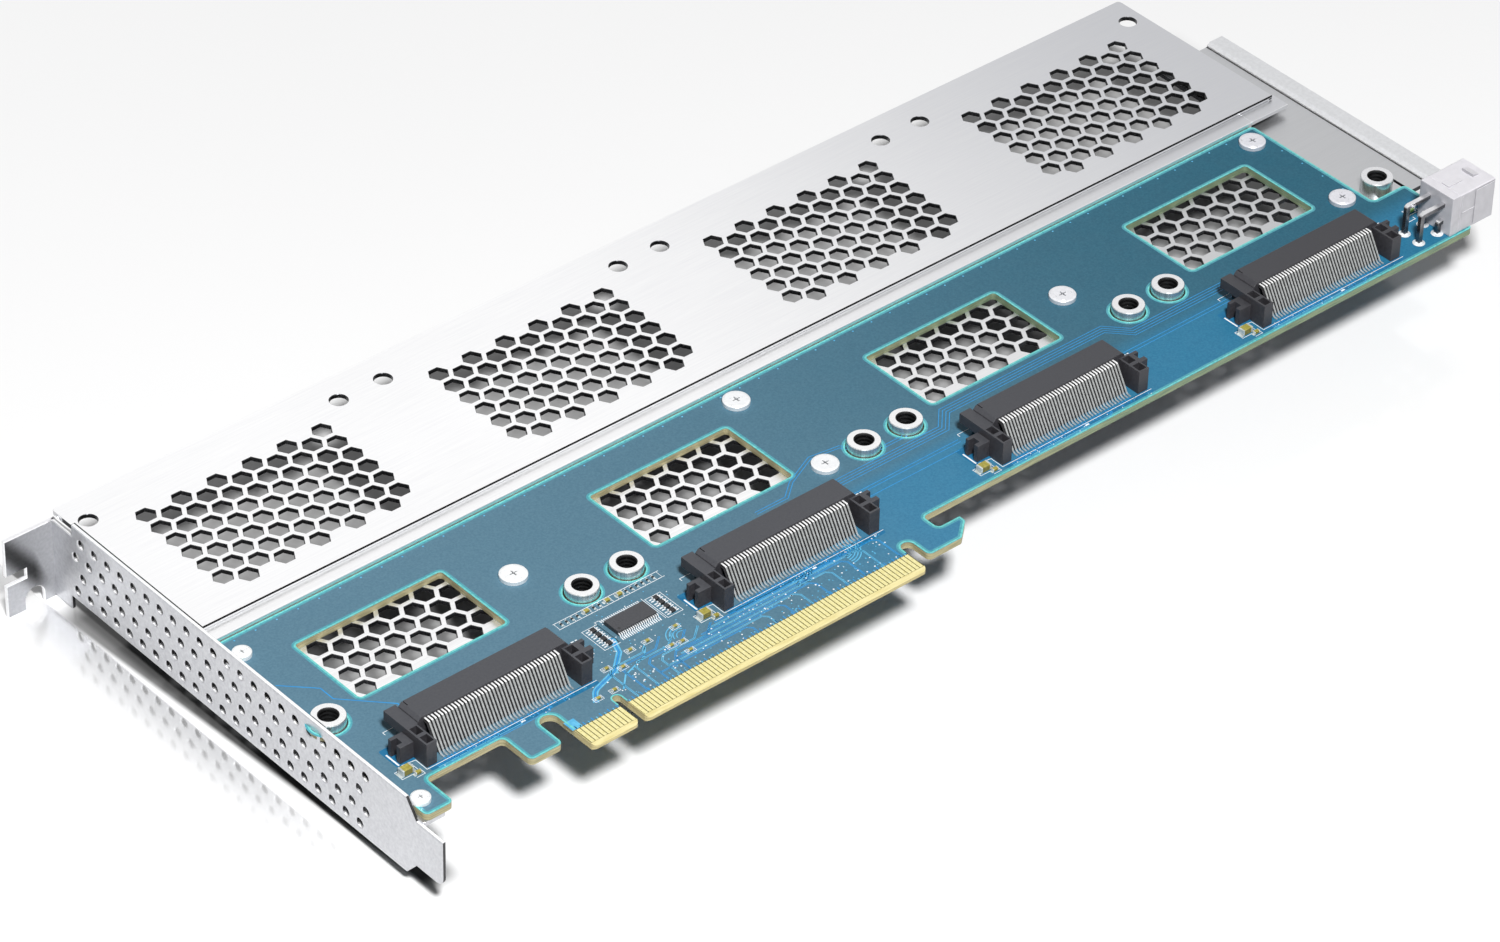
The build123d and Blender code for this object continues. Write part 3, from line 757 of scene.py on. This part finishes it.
housing_parts = housing()
for number, x in enumerate(DRIVES, start=1):
    piece = Piece(f"socket_housing_{number}", "socket", socket_plastic, painted_shade_black,
                  nodes=(f"drive_socket_{number}",))
    for part in housing_parts:
        piece.add(moved(part, dx=x))
    for left, right in EARS:
        for y in POCKETS:
            # Painted shade: dark floors in the ear pockets.
            piece.add(moved(box(left + 0.4, right - 0.4, y - 1.1, y + 1.1, 0.38, 0.44, 0), dx=x), 1)
    piece.done()

    pins = Piece(f"contact_row_{number}", "contact", contact_metal, painted_shade_black,
                 nodes=(f"socket_contacts_{number}",))
    path = [(-15.6, 3.9), (-17.05, 3.9), (-17.3, 3.8), (-17.5, 3.5), (-20.25, -1.15), (-20.42, -1.5),
            (-20.75, -1.8), (-21.65, -1.88)]
    for k in range(CONTACTS):
        pins.add(bent(path, 0.37, 0.16, x + FIRST_CONTACT + CONTACT_PITCH * k))
    # Painted shade: a dark sheet behind the contact legs shows in the gaps between them.
    pins.add(bent([(-15.6, 3.4), (-16.9, 3.3), (-19.9, -1.7)], 31.9, 0.08, x + 26.1), 1)
    pins.done()

# Power socket, pins and solder
cells = [(y, z) for y in PIN_ROWS for z in (0.7, 4.9)]
shell_outline = rectangle(-23.7, -14.1, -2.0, 7.6, 0.35)
shell = sheet([shell_outline, *[rectangle(y - 1.7, y + 1.7, z - 1.7, z + 1.7, 0.3) for y, z in cells]],
              10.5, 0.12)
power = Piece("power_housing", "nylon", nylon, nylon_inner, nodes=("power_socket",))
power.add(turned_up(shell, lambda u, v, w: (291.3 + w, u, v)))
power.add(box(278.5, 280.82, -23.7, -14.1, -2.0, 7.6, 0.2))
power.add(prism([(289.8, 7.55), (287.6, 7.55), (287.6, 8.35)], -20.5, -17.3, "y", 0.08))
for y in (-23.9, -13.95):
    power.add(box(285.2, 290.9, y - 0.05, y + 0.1, -1.6, 7.2, 0.04, 1))
power.add(box(280.9, 285.0, -20.0, -17.8, 7.55, 7.85, 0.1))
for x in (281.4, 286.6):
    power.add(box(x, x + 0.25, -23.78, -23.6, -1.4, 7.0, 0.05, 1))
power.add(box(281.4, 291.0, -23.78, -23.6, 2.7, 2.95, 0.05, 1))
for y, z in cells:
    power.add(box(280.85, 280.95, y - 1.65, y + 1.65, z - 1.65, z + 1.65, 0), 1)
power.done()


def bent_pin(x, y, level):
    """A square pin out of the housing, round a bend and down through the board."""
    h, bend, inner_end, tip = 0.535, 0.45, 288.8, -4.8
    elbow = arc(x + bend, level - bend, bend + h, 180, 90, 5)
    outline = [(inner_end, level - h), (inner_end, level + h), *reversed(elbow), (x - h, tip), (x + h, tip),
               (x + h, level - h)]
    return prism(outline, y - h, y + h, "y", 0.1, 1)


pin_piece = Piece("power_pin_set", "contact", pin_metal, nodes=("power_pins",))
ring_piece = Piece("solder_rings", "contact", solder, smooth=40)
for y in PIN_ROWS:
    for x, level in PINS:
        pin_piece.add(bent_pin(x, y, level))
        ring_piece.add(turned([(0.5, -1.55), (0.75, -1.72), (1.15, -1.9), (1.35, -1.97)], x, y, 28))
        ring_piece.add(turned([(1.35, -3.63), (1.1, -3.75), (0.75, -4.1), (0.6, -4.4)], x, y, 28))
pin_piece.done()
ring_piece.done()

# Parts soldered on the board
chip = Piece("clock_chip_body", "chip", chip_plastic, solder, lug_dark, nodes=("clock_chip",))
CHIP_Y = -12.6
LEAD_PITCH = 0.5
LEAD_BENDS = ((2.1, -1.35), (2.45, -1.37), (2.62, -1.55), (2.75, -1.9), (3.3, -1.93))
chip.add(prism(rectangle(58.55, 68.25, CHIP_Y - 2.2, CHIP_Y + 2.2), -1.88, -0.9, "z", 0.12))
chip.add(turned([(0.32, -0.895), (0, -0.893)], 59.4, -14.0, 20), 2)
for k in range(20):
    x = 58.65 + LEAD_PITCH * k
    for side in (-1, 1):
        path = [(CHIP_Y + side * reach, z) for reach, z in LEAD_BENDS]
        pad = sorted((CHIP_Y + side * 2.9, CHIP_Y + side * 3.7))
        chip.add(bent(path, 0.22, 0.14, x), 1)
        chip.add(box(x - 0.12, x + 0.12, *pad, BOARD, -1.96, 0), 1)
chip.done()

arrays = Piece("array_bodies", "chip", array_black, solder, nodes=("resistor_arrays",))
ARRAY_COLUMNS = (55.7, 71.5)
for x in ARRAY_COLUMNS:
    for y in (-10.6, -12.2, -13.8, -15.4):
        arrays.add(box(x - 0.55, x + 0.55, y - 0.6, y + 0.6, BOARD, -1.5, 0.06, 1))
        for side in (-1, 1):
            for shift in (-0.33, 0.33):
                cap, pad, row = x + side * 0.68, x + side * 1.15, y + shift
                arrays.add(box(cap - 0.14, cap + 0.14, row - 0.17, row + 0.17, BOARD, -1.55, 0.03, 1), 1)
                arrays.add(box(pad - 0.3, pad + 0.3, row - 0.15, row + 0.15, BOARD, -1.95, 0), 1)
arrays.done()


def passive(piece, x, y, length, width, height, along="x", body=0):
    """A body between two metal ends, on two solder pads."""
    end, tip = length * 0.15, length / 2
    spans = [(-tip + end * 0.9, tip - end * 0.9, 0.0, body), (-tip, -tip + end, 0.02, 1),
             (tip - end, tip, 0.02, 1)]
    for a, b, grow, material in spans:
        w = width / 2 - 0.02 + grow
        top = BOARD + height - 0.02 + grow
        corners = (x + a, x + b, y - w, y + w) if along == "x" else (x - w, x + w, y + a, y + b)
        piece.add(box(*corners, BOARD, top, min(0.06, height / 6), 1), material)
    for side in (-1, 1):
        a, b = sorted((side * (tip - end * 0.4), side * (tip + end * 1.3)))
        w = width / 2
        corners = (x + a, x + b, y - w, y + w) if along == "x" else (x - w, x + w, y + a, y + b)
        piece.add(box(*corners, BOARD, BOARD + 0.05, 0), 1)


bulk = Piece("bulk_capacitor_set", "capacitor", olive, tin, nodes=("bulk_capacitors",))
small = Piece("small_capacitor_set", "capacitor", olive, tin, nodes=("small_capacitors",))
for x in DRIVES:
    passive(bulk, x + 2.3, -20.6, 2.7, 1.7, 1.4)
    passive(small, x + 3.9, -22.2, 1.5, 0.8, 0.7)
bulk.done()
small.done()

TINY_PLACES = ((43.6, -26.8), (47.6, -26.8), (64.5, -23.5), (67.0, -23.8), (66.5, -26.8), (57.5, -19.5),
               (61.8, -19.5), (68.8, -19.5), (53.2, -22.6), (50.4, -21.0))
ROW_Y = -5.2
ROW_PITCH = 1.35
ROW_CAPACITORS = (58.5, 63.7, 66.8)
loose = Piece("tiny_parts", "capacitor", olive, tin, array_black, green_part)
for x, y in TINY_PLACES:
    passive(loose, x, y, 1.2, 0.65, 0.5)
for x in ROW_CAPACITORS:
    passive(loose, x, ROW_Y, 1.5, 0.8, 0.6)
for k in range(18):
    x = 52.3 + ROW_PITCH * k
    if min(abs(x - q) for q in ROW_CAPACITORS) > 1.2:
        passive(loose, x, ROW_Y, 0.8, 0.5, 0.3, "y", 2)
passive(loose, 279.0, -11.8, 1.6, 1.0, 0.7, "x", 3)
loose.done()

# Board surface
BOARD_LEFT, BOARD_RIGHT = -2.4, 285.0
BOARD_REAR, BOARD_FRONT, FOOT_FRONT = 32.1, -24.2, -32.6
STEP_X, STEP_Y = 275.4, -4.2
TONGUE_LEFT, TONGUE_RIGHT, TONGUE_FRONT = 34.3, 118.6, -36.9
KEY_X, KEY_Y, KEY_RADIUS = 46.45, -28.95, 0.95
KEY_LEFT, KEY_RIGHT = 45.5, 47.4
SPACER_HOLE = 3.75
around = [(TONGUE_LEFT, -26.2), *arc(32.3, -26.2, 2.0, 0, 180, 16), (30.3, -26.2), (30.3, FOOT_FRONT),
          (22.5, FOOT_FRONT), (22.5, BOARD_FRONT), (4.1, BOARD_FRONT), (4.1, FOOT_FRONT),
          (BOARD_LEFT, FOOT_FRONT), (BOARD_LEFT, BOARD_REAR), (STEP_X, BOARD_REAR), (STEP_X, STEP_Y),
          (BOARD_RIGHT, STEP_Y), (BOARD_RIGHT, BOARD_FRONT), (128.7, BOARD_FRONT), (128.7, -28.7),
          (134.4, -28.7), (134.4, -30.4), (130.2, -34.0), (121.6, -34.0), (121.6, -29.5),
          *arc(120.1, -29.5, 1.5, 0, 180, 14)]


def key_notch(front):
    """The slot that keys the tongue, round from its right wall to its left, open at y = front."""
    return [(KEY_RIGHT, front), (KEY_RIGHT, KEY_Y), *arc(KEY_X, KEY_Y, KEY_RADIUS, 0, 180, 12),
            (KEY_LEFT, front)]


tongue = [(TONGUE_RIGHT, TONGUE_FRONT), *key_notch(TONGUE_FRONT), (TONGUE_LEFT, TONGUE_FRONT)]
windows = [rectangle(x + 9.0, x + 44.7, 2.0, 22.4, 0.8) for x in DRIVES]
board_holes = [circle(x, 0, SPACER_HOLE, 40) for x in SPACERS[:-1]]
board_holes += [circle(x, y, 1.6, 16) for x, y in screw_spots]
board_holes += [circle(x, y, 0.85, 16) for x, _ in PINS for y in PIN_ROWS]
plate = moved(sheet([eased(around + tongue, 1.1, True), *windows, *board_holes], BOARD_THICKNESS, 0.06),
              dz=BOARD)
top_cut = prism([(-35.68, BOARD + 0.1), (-37.2, BOARD + 0.1), (-37.2, BOARD - 0.585)], 33.0, 120.0, "x", 0)
low_cut = prism([(-35.68, BOARD_UNDER - 0.1), (-37.2, BOARD_UNDER - 0.1), (-37.2, BOARD_UNDER + 0.585)],
                33.0, 120.0, "x", 0)
board = Piece("board_sheet", "board", board_mask, nodes=("circuit_board",))
board.add(carved(plate, top_cut, low_cut))
board.done()

fingers = Piece("edge_contact_fingers", "gold", gold, nodes=("edge_contacts",))
finger_xs = [34.95 + k for k in range(11)] + [47.95 + k for k in range(71)]
for x in finger_xs:
    fingers.add(box(x - 0.40, x + 0.40, -35.85, -31.2, BOARD - 0.005, BOARD + 0.03, 0))
fingers.done()
under = Piece("edge_contacts_below", "gold", gold)
for x in finger_xs:
    under.add(box(x - 0.35, x + 0.35, -35.8, -31.2, BOARD_UNDER - 0.04, BOARD_UNDER + 0.01, 0))
under.done()

rim_z, soft_z, rim_front = BOARD + 0.02, BOARD + 0.008, -30.6
rim_path = eased([(TONGUE_LEFT, rim_front), *around, (TONGUE_RIGHT, rim_front)], 1.1)
rim = Piece("board_rim", "board", rim_highlight_glow, rim_soft_highlight)


def painted_rim_highlight(path, width, outside, inside, closed=False):
    """A painted highlight along an edge of the board: a bright line over a softer band."""
    rim.add(ribbon(path, 0.0, width, rim_z, closed))
    rim.add(ribbon(path, -outside, inside, soft_z, closed), 1)


# Painted highlights along the outline, the windows and the spacer holes.
painted_rim_highlight(rim_path, 0.40, 0.38, 0.85)
rim.add(ribbon(key_notch(rim_front), 0.0, 0.32, rim_z))
for window in windows:
    painted_rim_highlight(window, 0.42, 0.40, 0.85, True)
for x in SPACERS[:-1]:
    painted_rim_highlight(circle(x, 0, SPACER_HOLE + 0.01, 48), 0.36, 0.34, 0.75, True)
rim.done()

trace_z = BOARD + 0.012
traces = Piece("board_traces", "board", trace_blue, trace_pale)
# Painted shade: darker patches of mask in front of each socket's feet and beside its peg block.
socket_shade = plain("copper_pour", "#1f6690", "#2c769f", 0.4, 900, Specular_IOR_Level=0.15)
shade_patches = Piece("board_socket_shade", "board", socket_shade)
shade_z = BOARD + 0.004
for x in DRIVES:
    for patch in ((6.4, 46.9, -23.4, -21.9), (1.9, 6.6, -18.6, -12.6)):
        outline = rectangle(x + patch[0], x + patch[1], patch[2], patch[3], 0.5)
        shade_patches.add(([(u, v, shade_z) for u, v in outline], [tuple(range(len(outline)))]))
shade_patches.done()


def bundle(path, count, pitch, width=0.17, tone=0):
    for k in range(count):
        shift = (k - (count - 1) / 2) * pitch
        traces.add(ribbon(path, shift + width / 2, width / 2 - shift, trace_z), tone)


def dot(piece, x, y, radius, z, tone=0):
    ring = circle(x, y, radius, 10)
    base = [(u, v, z) for u, v in ring]
    piece.add((base, [tuple(range(10))]), tone)


bundle([(118.0, -5.5), (151.3, -5.5), (155.3, -1.3), (199.3, -1.3), (203.7, -5.9), (231.0, -5.9)],
       4, 0.72, 0.16)
bundle([(122.5, -10.5), (151.0, -10.5)], 2, 0.8)
bundle([(122.5, -12.8), (149.0, -12.8)], 1, 0.5)
bundle([(197.0, -10.3), (229.0, -10.3)], 2, 0.9)
bundle([(104.0, -2.6), (112.0, -2.6), (116.0, 0.6), (124.0, 4.2), (131.0, 3.2), (134.8, -2.4),
        (148.0, -2.4)], 2, 0.7)
bundle([(-1.0, 15.0), (5.0, 9.0), (5.0, 5.0), (13.5, -3.8), (13.5, -9.0)], 1, 0.5, 0.26)
curve = eased([(57.2, -14.5), (55.6, -18.6), (51.4, -22.4), (44.6, -24.6), (42.6, -27.4)], 3.0)
for shift, tone in ((-0.42, 1), (0.42, 1), (0.0, 0)):
    traces.add(ribbon(curve, shift + 0.17, 0.17 - shift, trace_z), tone)
curve = eased([(61.5, -19.2), (58.6, -22.6), (52.2, -24.6), (49.2, -27.6)], 2.6)
traces.add(ribbon(curve, 0.17, 0.17, trace_z), 1)
for x in DRIVES:
    for k in range(3):
        bundle([(x + 8.0, -22.75 - 0.45 * k), (x + 21.5 + 6.5 * k, -22.75 - 0.45 * k),
                (x + 22.4 + 6.5 * k, -22.3), (x + 46.5, -22.3)], 1, 0.3, 0.16, k % 2)
    for k in range(CONTACTS):
        if k % 5 != 4:
            cx = x + FIRST_CONTACT + CONTACT_PITCH * k
            bundle([(cx, -21.4), (cx, -22.5 - 0.25 * (k % 4))], 1, 0.3, 0.2)
for k in range(9):
    y = -23.3 - 0.62 * k
    end = 116.0 - 4.6 * k
    bundle([(75.5 - 2.2 * k, y), (end, y), (end + 1.0, y - 1.0), (end + 1.0, -31.1)], 2, 0.26, 0.14, k % 2)
for k in range(6):
    y = -21.5 - 0.75 * k
    start = 50.0 + 2.6 * k
    bundle([(start, -30.9), (start, y - 1.2), (start + 1.2, y), (start + 9.0, y), (start + 12.0, y + 2.5)],
           2, 0.28, 0.14, (k + 1) % 2)
for k in range(5):
    bundle(arc(108.5, -22.0, 2.0 + 0.62 * k, 100, -90, 18), 1, 0.3, 0.24, 1)
for k in range(4):
    bundle(arc(97.0, -21.8, 1.8 + 0.6 * k, 10, -120, 14), 1, 0.3, 0.2, k % 2)
for k in range(4):
    bundle(arc(68.5, -22.5, 1.4 + 0.7 * k, 175, 60, 12), 1, 0.3, 0.2, 1)
for x in finger_xs:
    bundle([(x, -31.2), (x, -30.2 - 0.4 * (int(x) % 2))], 1, 0.3, 0.22, int(x) % 2)
traces.add(box(33.9, 36.3, -31.0, -28.2, BOARD, BOARD + 0.012, 0), 1)
traces.done()

vias = Piece("board_vias", "board", trace_pale, silk_white)
for k in range(54):
    dot(vias, 1.0 + 5.1 * k, 30.7, 0.2, rim_z)
for k in range(5):
    dot(vias, 273.8, 27.5 - 6.1 * k, 0.2, rim_z)
for _ in range(230):
    dot(vias, random.uniform(48.0, 117.5), random.uniform(-30.6, -22.8), random.uniform(0.1, 0.2),
        rim_z, random.random() > 0.55)
for x in DRIVES:
    for _ in range(26):
        dot(vias, x + random.uniform(8.0, 46.0), random.uniform(-23.8, -22.2), 0.12, rim_z,
            random.random() > 0.6)
for _ in range(60):
    dot(vias, random.uniform(50.0, 76.0), random.uniform(-21.0, -7.0), 0.13, rim_z, random.random() > 0.4)
vias.done()

silk = Piece("board_silk", "board", silk_white)


def line(points, width=0.14, closed=False):
    silk.add(ribbon(points, width / 2, width / 2, rim_z, closed))


for x in DRIVES:
    line([(x + 9.3, -8.8), (x + 6.0, -8.8), (x + 6.0, -9.6)])
    line([(x + 2.5, -14.3), (x + 2.5, -18.2)], 0.36)
    line([(x + 2.9, -18.5), (x + 5.9, -18.9), (x + 5.9, -22.35), (x + 46.9, -22.35)])
    line(rectangle(x + 0.5, x + 4.6, -21.8, -19.4), 0.12, True)
    line([(x + 3.0, -23.0), (x + 5.0, -23.0), (x + 5.0, -21.6)], 0.12)
    for k in range(8):
        y = -10.6 - 0.75 * k
        line([(x + 50.2, y), (x + 50.9, y)], 0.26)
        line([(x + 51.2, y), (x + 51.7, y)], 0.26)
    line([(x + 28.0, -22.9), (x + 29.0, -22.9)], 0.4)
for x in ARRAY_COLUMNS:
    line(rectangle(x - 1.9, x + 1.9, -16.5, -9.5), 0.12, True)
for y in (ROW_Y + 1.0, ROW_Y - 1.0):
    line([(51.0, y), (77.4, y)], 0.14)
for k in range(20):
    x = 51.2 + ROW_PITCH * k
    line([(x, ROW_Y + 1.0), (x, ROW_Y - 1.0)], 0.1)
line([(57.6, -16.4), (57.6, -8.8), (58.6, -8.8)], 0.12)
line([(69.2, -8.8), (69.2, -16.4)], 0.12)
for x, y in TINY_PLACES:
    line(rectangle(x - 1.05, x + 1.05, y - 0.62, y + 0.62), 0.1, True)
line(rectangle(277.4, 280.6, -12.8, -10.8), 0.12, True)
line([(275.6, -14.4), (277.8, -14.4), (277.8, -13.6)], 0.16)
silk.done()

# Stage
# Painted shadow on the floor under the card: y where each band begins and ends to show, and its two tones.
UNDER_CARD = ((-8, 10, "#b9b9b9", "#bfbfbf"), (26, 34, "#9d9d9d", "#a2a2a2"), (40, 47, "#444444", "#484848"),
              (56, 66, "#c4c4c4", "#c8c8c8"), (88, 93, "#f9f9f9", "#fcfcfc"))


def floor_material():
    """White, with the bracket's faint mirror image, and painted shadow under the card and the bracket."""
    n = Nodes("floor_white")
    image_start, image_end, slant, slant_start, slant_end = -6.2, -19.0, 0.0552, -3.4 * MM, -1.8 * MM
    image = n.product(n.across("X", image_start - 0.6, image_start, 0.72, 0.0), n.across("X", image_end, -7),
                      n.across("Y", 100, 125, 1.0, 0.0), n.across("Y", -35, 30, 0.06, 1.0))
    n.link(image, n.shader.inputs["Metallic"])
    n.link(n.across("Y", 110, 600, 0.0, 0.14), n.shader.inputs["Emission Strength"])
    n.link(n.spread(n.noise(6, 2.0), 0.3, 0.7, 0.09, 0.11), n.shader.inputs["Roughness"])
    cloud = n.noise(4, 2.0)
    white = n.ramp(cloud, "#f9f9f9", "#fcfcfc")
    shade = white
    for start, end, low, high in UNDER_CARD:
        shade = n.mix(n.across("Y", start, end), shade, n.ramp(cloud, low, high))
    # Painted shade on the floor under the bracket.
    bracket_shade = n.mix(n.across("X", image_start, -3), n.ramp(cloud, "#8c8c8c", "#909090"),
                n.ramp(cloud, "#4c4c4c", "#525252"))
    bracket_shade = n.mix(n.across("Y", 74, 84), bracket_shade, white)
    bracket_shade = n.mix(n.across("Y", -34, -28), white, bracket_shade)
    shade = n.mix(n.across("X", 3, 8), bracket_shade, shade)
    # The painted shade begins along a slightly slanted line by the bracket.
    border = n.math("MULTIPLY_ADD", n.axis("Y"), slant, n.axis("X"))
    shade = n.mix(n.spread(border, slant_start, slant_end), white, shade)
    shade = n.mix(n.across("X", 300, 312), shade, white)
    return n.finish(shade, Emission_Color=(1.0, 1.0, 1.0, 1.0))


floor_data = bpy.data.meshes.new("floor")
reach = 12.0
floor_data.from_pydata([(-reach, -reach, FLOOR * MM), (reach, -reach, FLOOR * MM),
                        (reach, reach, FLOOR * MM), (-reach, reach, FLOOR * MM)], [], [(0, 1, 2, 3)])
floor = bpy.data.objects.new("floor", floor_data)
bpy.context.scene.collection.objects.link(floor)
floor_data.materials.append(floor_material())

scene = bpy.context.scene
scene.view_settings.view_transform = "Standard"
world = bpy.data.worlds.new("studio")
scene.world = world
world.use_nodes = True
sky = world.node_tree
glow = sky.nodes["Background"]
glow.inputs["Color"].default_value = (0.995, 0.995, 1.0, 1.0)
rays = sky.nodes.new("ShaderNodeLightPath")
panel_glow = sky.nodes.new("ShaderNodeMapRange")
panel_glow.inputs["To Min"].default_value = 0.09
panel_glow.inputs["To Max"].default_value = 0.95
sky.links.new(rays.outputs["Is Glossy Ray"], panel_glow.inputs["Value"])
sky.links.new(panel_glow.outputs["Result"], glow.inputs["Strength"])


def soft_light(name, place, target, width, height, watts):
    data = bpy.data.lights.new(name, "AREA")
    data.shape = "RECTANGLE"
    data.size, data.size_y, data.energy = width, height, watts
    lamp = bpy.data.objects.new(name, data)
    scene.collection.objects.link(lamp)
    lamp.location = place
    lamp.rotation_mode = "QUATERNION"
    lamp.rotation_quaternion = (Vector(target) - Vector(place)).to_track_quat("-Z", "Y")
    return lamp


key_place, key_target, key_side, key_watts = (-0.445, -0.92, 1.45), (0.12, 0.02, 0.0), 0.24, 42.4
soft_light("key", key_place, key_target, key_side, key_side, key_watts)

# The camera that was fitted to the drive screws' places: its turns in degrees and its place.
camera_turns = (41.7318, 37.5337, 1.4695)
camera_place = Vector((-516.34564, -695.99671, 723.27425)) * MM
azimuth, elevation, roll = (math.radians(a) for a in camera_turns)
ahead = Vector((math.sin(azimuth) * math.cos(elevation), math.cos(azimuth) * math.cos(elevation),
                -math.sin(elevation)))
level = Vector((math.cos(azimuth), -math.sin(azimuth), 0.0))
upward = level.cross(ahead)
right = level * math.cos(roll) + upward * math.sin(roll)
up = upward * math.cos(roll) - level * math.sin(roll)
lens = bpy.data.cameras.new("camera")
lens.lens, lens.sensor_width, lens.sensor_fit = 143.863, 36.0, "HORIZONTAL"
lens.clip_start, lens.clip_end = 0.05, 20.0
camera = bpy.data.objects.new("camera", lens)
scene.collection.objects.link(camera)
turn = Matrix((right, up, -ahead)).transposed().to_4x4()
turn.translation = camera_place
camera.matrix_world = turn
scene.camera = camera
